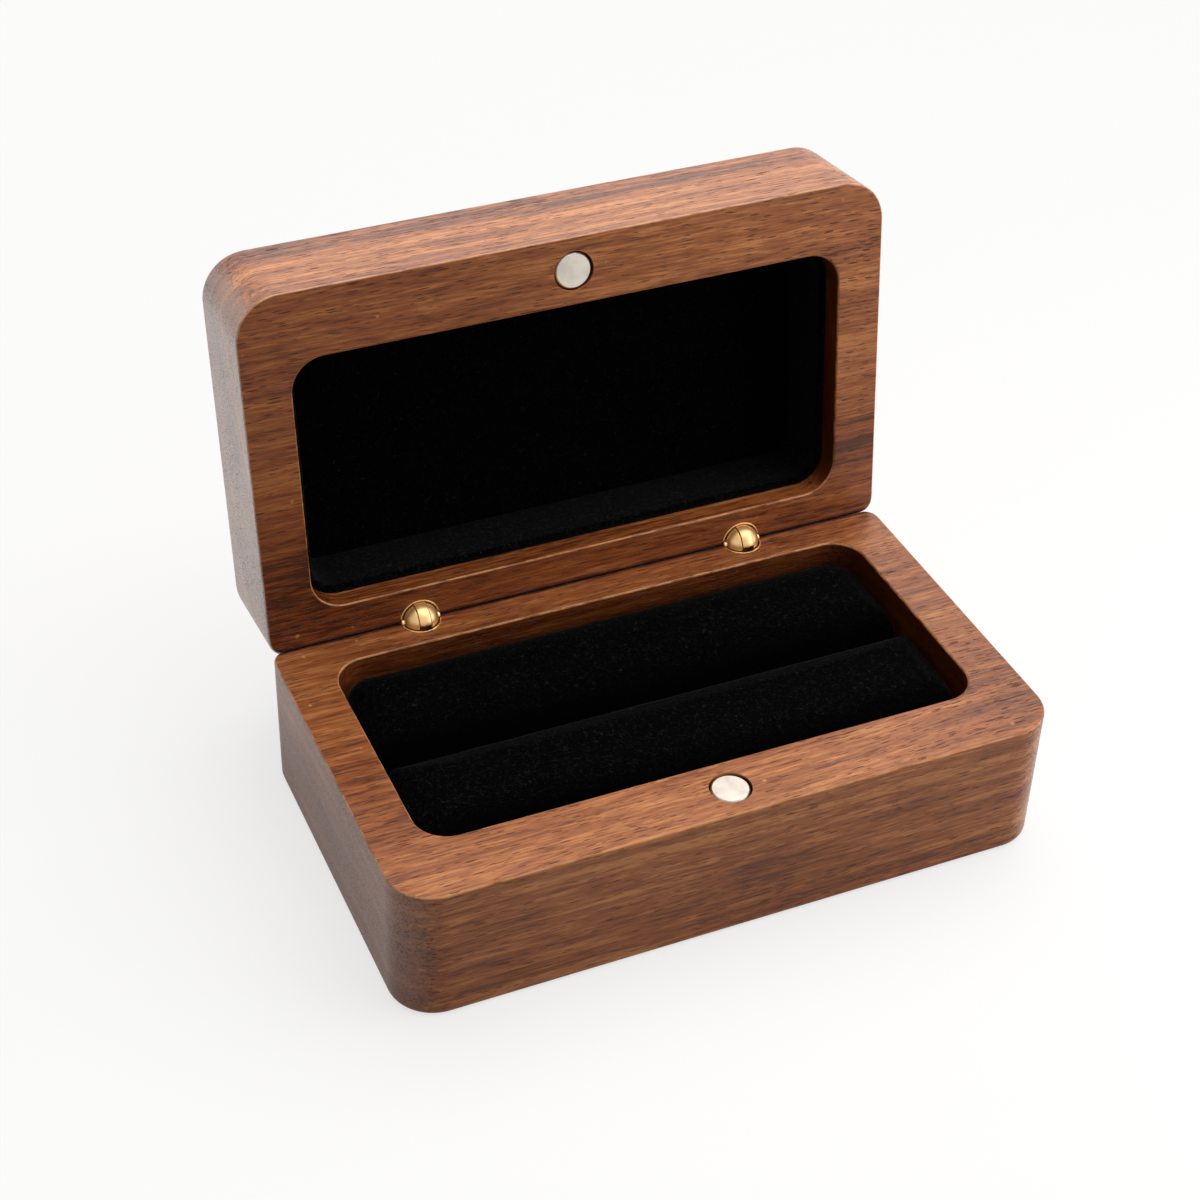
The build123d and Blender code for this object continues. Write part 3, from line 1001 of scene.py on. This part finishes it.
class RINGBOX_OT_lid_liner(Operator):
    """Make the velvet band and the velvet panel in the lid"""

    bl_idname = "ring_box.lid_liner"
    bl_label = "Lid liner"

    def execute(self, context):
        settings = context.scene.ring_box
        pile = bpy.data.node_groups.get("Velvet pile") or velvet_pile(settings.velvet)
        # The band is a lit copy of the velvet with more lint and sheen, and the panel a shaded
        # copy: painted light on the band, where it faces the lamp, and painted shade on the panel.
        band_finish = velvet(
            "Velvet band", settings.velvet, pile, lint_amount=1.6, sheen=0.075, spread=0.42
        )
        panel_finish = velvet(
            "Velvet panel", settings.velvet, pile, lint_amount=0.6, sheen=0.006, spread=0.42
        )
        band = mesh_object("lid_velvet_band", velvet_band(settings.liner))
        panel = mesh_object("lid_velvet_panel", velvet_panel(settings.liner))
        for piece, finish in ((band, band_finish), (panel, panel_finish)):
            piece.data.transform(lid_axes())
            piece.data.materials.append(finish)
            piece.data.shade_smooth()
            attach(piece, "lid")
        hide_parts("lid_wall_velvet")
        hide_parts("lid_floor_velvet")
        return {"FINISHED"}


class RINGBOX_OT_ball_hinges(Operator):
    """Dress both ball hinges in polished brass"""

    bl_idname = "ring_box.ball_hinges"
    bl_label = "Ball hinges"

    def execute(self, context):
        marks = bpy.data.node_groups.get("Handling marks") or wear()
        finish = brass(context.scene.ring_box.metal, marks)
        for side in ("left", "right"):
            for part in ("base_sleeve", "lid_sleeve", "hinge_fork", "hinge_tongue", "hinge_pin"):
                dress([f"{side}_{part}"], finish)
        return {"FINISHED"}


class RINGBOX_OT_magnets(Operator):
    """Dress the two magnets in nickel"""

    bl_idname = "ring_box.magnets"
    bl_label = "Magnets"

    def execute(self, context):
        marks = bpy.data.node_groups.get("Handling marks") or wear()
        settings = context.scene.ring_box.metal
        # Two copies of the same nickel at different brightness: the difference is painted light.
        base = nickel("Nickel base magnet", settings, marks, settings.base_magnet)
        lid = nickel("Nickel lid magnet", settings, marks, settings.lid_magnet)
        dress(["base_magnet"], base)
        dress(["lid_magnet"], lid)
        return {"FINISHED"}


class RINGBOX_OT_cards(Operator):
    """Dress the cards that carry the velvet"""

    bl_idname = "ring_box.cards"
    bl_label = "Cards"

    def execute(self, context):
        finish = card(context.scene.ring_box.card)
        dress(["base_card", "lid_wall_card", "lid_floor_card"], finish)
        return {"FINISHED"}


def seen_as(wiring):
    """1 for rays from the camera, a gloss or a glass, 0 for light that falls on the box."""
    rays = wiring.put("LightPath").outputs
    seen = wiring.math("MAXIMUM", rays["Is Camera Ray"], rays["Is Glossy Ray"])
    return wiring.math("MAXIMUM", seen, rays["Is Transmission Ray"])


def white_floor(settings):
    """A wide white floor that keeps the box's shadow."""
    mesh = bpy.data.meshes.new("floor")
    half = settings.floor_half
    corners = [(-half, -half, 0), (half, -half, 0), (half, half, 0), (-half, half, 0)]
    mesh.from_pydata(corners, [], [(0, 1, 2, 3)])
    floor = mesh_object("floor", mesh)
    made = bpy.data.materials.new("White floor")
    made.use_nodes = True
    made.node_tree.nodes.clear()
    w = Wiring(made.node_tree)
    dim = (settings.bounce,) * 3
    tint = w.mix(seen_as(w), dim, (0.97, 0.97, 0.97))
    paper = w.put("BsdfDiffuse", {"Color": tint}).outputs[0]
    glow = w.put("Emission", {"Color": (1.0, 1.0, 1.0), "Strength": 1.0}).outputs[0]
    rays = w.put("LightPath").outputs
    glossy = w.times(rays["Is Glossy Ray"], 0.2)
    part = w.math("MULTIPLY_ADD", rays["Is Camera Ray"], settings.floor_glow, glossy)
    both = w.put("MixShader", {0: part, 1: paper, 2: glow}).outputs[0]
    w.put("OutputMaterial", {"Surface": both})
    mesh.materials.append(made)
    gap_under_box = 0.0001
    floor.location.z = -gap_under_box


def white_room(settings):
    """An even white world: bright where it is seen, weaker as a light."""
    world = bpy.data.worlds.new("White room")
    bpy.context.scene.world = world
    world.use_nodes = True
    world.node_tree.nodes.clear()
    w = Wiring(world.node_tree)
    strength = w.math("MULTIPLY_ADD", seen_as(w), 1.0 - settings.room, settings.room)
    light = w.put("Background", {"Color": (1.0, 1.0, 1.0), "Strength": strength}).outputs[0]
    w.put("OutputWorld", {"Surface": light})


def soft_lamps(settings):
    """A large soft lamp overhead, and a small one at the right of the front."""
    data = bpy.data.lights.new("key", "SUN")
    data.energy = settings.key_strength
    data.angle = settings.key_spread
    data.color = settings.lamp
    lamp = bpy.data.objects.new("key", data)
    bpy.context.scene.collection.objects.link(lamp)
    aim = Vector(settings.key_from).normalized()
    lamp.rotation_euler = aim.to_track_quat("Z", "Y").to_euler()
    lamp.location = aim
    data = bpy.data.lights.new("side", "AREA")
    data.energy = settings.side_power
    data.shape = "DISK"
    data.size = settings.side_width
    data.color = settings.lamp
    lamp = bpy.data.objects.new("side", data)
    bpy.context.scene.collection.objects.link(lamp)
    lamp.location = settings.side_from
    aim = Vector(settings.side_from) - Vector((0, 0, 0.03))
    lamp.rotation_euler = aim.to_track_quat("Z", "Y").to_euler()


def photo_camera(settings):
    """The camera at the photograph's place and angle."""
    data = bpy.data.cameras.new("camera")
    data.sensor_width = 36.0
    data.sensor_fit = "HORIZONTAL"
    data.lens = settings.lens
    data.shift_x, data.shift_y = settings.shift
    data.clip_start = 0.01
    camera = bpy.data.objects.new("camera", data)
    bpy.context.scene.collection.objects.link(camera)
    ahead = Vector((
        math.sin(settings.turn) * math.cos(settings.tilt),
        math.cos(settings.turn) * math.cos(settings.tilt),
        -math.sin(settings.tilt),
    ))
    right = Vector((math.cos(settings.turn), -math.sin(settings.turn), 0.0))
    up = right.cross(ahead)
    c, s = math.cos(settings.roll), math.sin(settings.roll)
    right, up = right * c + up * s, up * c - right * s
    axes = Matrix((right, up, -ahead)).transposed().to_4x4()
    camera.matrix_world = Matrix.Translation(settings.camera) @ axes
    bpy.context.scene.camera = camera


class RINGBOX_OT_stage(Operator):
    """Set up the white floor, the light and the camera"""

    bl_idname = "ring_box.stage"
    bl_label = "Stage"

    def execute(self, context):
        settings = context.scene.ring_box.stage
        white_floor(settings)
        white_room(settings)
        soft_lamps(settings)
        photo_camera(settings)
        context.scene.view_settings.view_transform = "Standard"
        return {"FINISHED"}


steps = (
    RINGBOX_OT_stage,
    RINGBOX_OT_walnut_blocks,
    RINGBOX_OT_ring_pads,
    RINGBOX_OT_lid_liner,
    RINGBOX_OT_ball_hinges,
    RINGBOX_OT_magnets,
    RINGBOX_OT_cards,
)


class RINGBOX_PT_panel(Panel):
    """Steps and settings of the ring box"""

    bl_idname = "RINGBOX_PT_panel"
    bl_label = "Ring box"
    bl_space_type = "VIEW_3D"
    bl_region_type = "UI"
    bl_category = "Ring box"

    def draw(self, context):
        for step in steps:
            self.layout.operator(step.bl_idname)
        settings = context.scene.ring_box
        for name in RingBoxSettings.__annotations__:
            group = getattr(settings, name)
            box = self.layout.box()
            box.label(text=name.capitalize())
            for key in group.__annotations__:
                box.prop(group, key)


classes = (
    WalnutSettings,
    VelvetSettings,
    PadSettings,
    LinerSettings,
    MetalSettings,
    CardSettings,
    StageSettings,
    RingBoxSettings,
    *steps,
    RINGBOX_PT_panel,
)


def register():
    """Adds the settings, the steps and the panel."""
    for item in classes:
        bpy.utils.register_class(item)
    bpy.types.Scene.ring_box = PointerProperty(type=RingBoxSettings)


def unregister():
    """Takes them away again."""
    del bpy.types.Scene.ring_box
    for item in reversed(classes):
        bpy.utils.unregister_class(item)


def main():
    """Dresses the box."""
    register()
    for step in steps:
        area, name = step.bl_idname.split(".")
        getattr(getattr(bpy.ops, area), name)()


if __name__ == "__main__":
    main()
